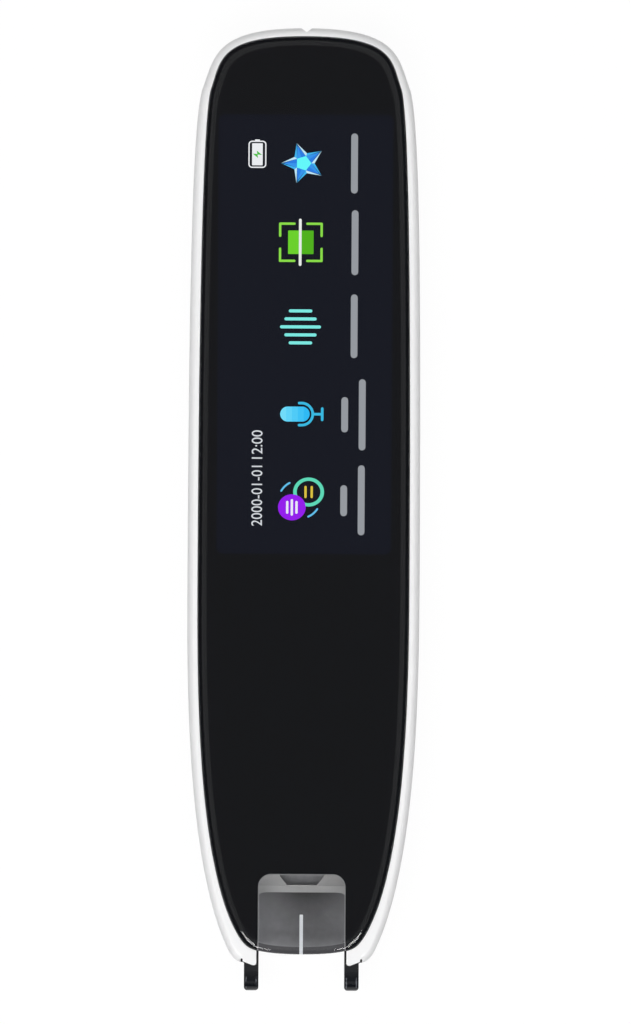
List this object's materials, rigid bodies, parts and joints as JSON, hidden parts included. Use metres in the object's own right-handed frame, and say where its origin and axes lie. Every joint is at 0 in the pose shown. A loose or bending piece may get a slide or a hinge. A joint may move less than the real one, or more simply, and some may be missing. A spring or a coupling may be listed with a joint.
{
  "type": "translation scanner pen",
  "caption": "Handheld scanner pen with a long glass front over a display, a clear scanning window at the tip and a sprung two-legged scanning fork.",
  "frame": {"origin": "middle of the pen's box, on the flat back it lies on", "axes": "+Y from the scanning tip to the tail, +Z out of the screen, +X to the right seen from the screen side"},
  "size_m": [0.0376, 0.1556, 0.0125],
  "materials": {
    "white_shell": "satin white ABS, slightly glossy",
    "white_key": "satin white plastic",
    "glass": "polished cover glass with rounded edge",
    "ink": "black printed film",
    "aim_print": "white printed line",
    "rubber": "black foam rubber",
    "panel": "dark display panel",
    "dark_plastic": "dark grey moulded plastic",
    "grey_plastic": "light grey milky plastic",
    "circuit_board": "green solder mask",
    "lamp": "warm lamp body",
    "black_gloss": "black moulded plastic, polished feet",
    "steel": "bright steel",
    "gold": "gold plate",
    "cell_foil": "dull pouch foil",
    "wire_red": "red insulation",
    "wire_black": "black insulation",
    "flex": "amber film"
  },
  "bodies": {
    "housing": {"front_frame": "white_shell", "back_cover": "white_shell", "cover_glass": "glass", "ink_mask": "ink", "aim_line": "aim_print", "glass_gasket": "rubber", "touch_panel": "panel", "lcd_panel": "panel", "scan_hood": "dark_plastic", "light_diffuser": "grey_plastic", "lamp_board": "circuit_board", "lamp_left": "lamp", "lamp_right": "lamp", "lens_barrel": "dark_plastic", "lens_glass": "glass", "camera_module": "dark_plastic", "camera_board": "circuit_board", "fork_spring_left": "steel", "fork_spring_right": "steel", "tip_switch": "dark_plastic", "main_board": "circuit_board", "camera_connector": "dark_plastic", "display_connector": "dark_plastic", "processor_shield": "steel", "radio_shield": "steel", "microphone": "steel", "mic_boot": "rubber", "power_switch": "dark_plastic", "dc_socket": "dark_plastic", "socket_pin": "gold", "battery_cell": "cell_foil", "battery_guard": "circuit_board", "battery_plug": "white_key", "battery_lead_red": "wire_red", "battery_lead_black": "wire_black", "loudspeaker": "dark_plastic", "speaker_cone": "rubber", "speaker_mesh": "steel", "speaker_lead_red": "wire_red", "speaker_lead_black": "wire_black", "camera_flex": "flex", "display_flex": "flex", "wifi_aerial": "flex", "frame_screw_1": "steel", "frame_screw_2": "steel", "frame_screw_3": "steel", "frame_screw_4": "steel", "frame_screw_5": "steel", "frame_screw_6": "steel", "board_screw_1": "steel", "hood_screw_1": "steel", "board_screw_2": "steel", "hood_screw_2": "steel"},
    "fork": {"scan_fork": "black_gloss", "tip_plunger": "grey_plastic"},
    "power_key": {"power_button": "white_key", "power_plunger": "grey_plastic"}
  },
  "joints": [
    {"name": "fork_press", "type": "slide", "parent": "housing", "child": "fork", "axis": [0, 1, 0], "range_m": [0, 0.001], "stiffness_N_per_m": 400, "springref_m": -0.0005, "deforming": ["fork_spring_left", "fork_spring_right"]},
    {"name": "power_press", "type": "slide", "parent": "housing", "child": "power_key", "axis": [-1, 0, 0], "range_m": [0, 0.00035], "stiffness_N_per_m": 2000, "springref_m": -0.0001}
  ]
}
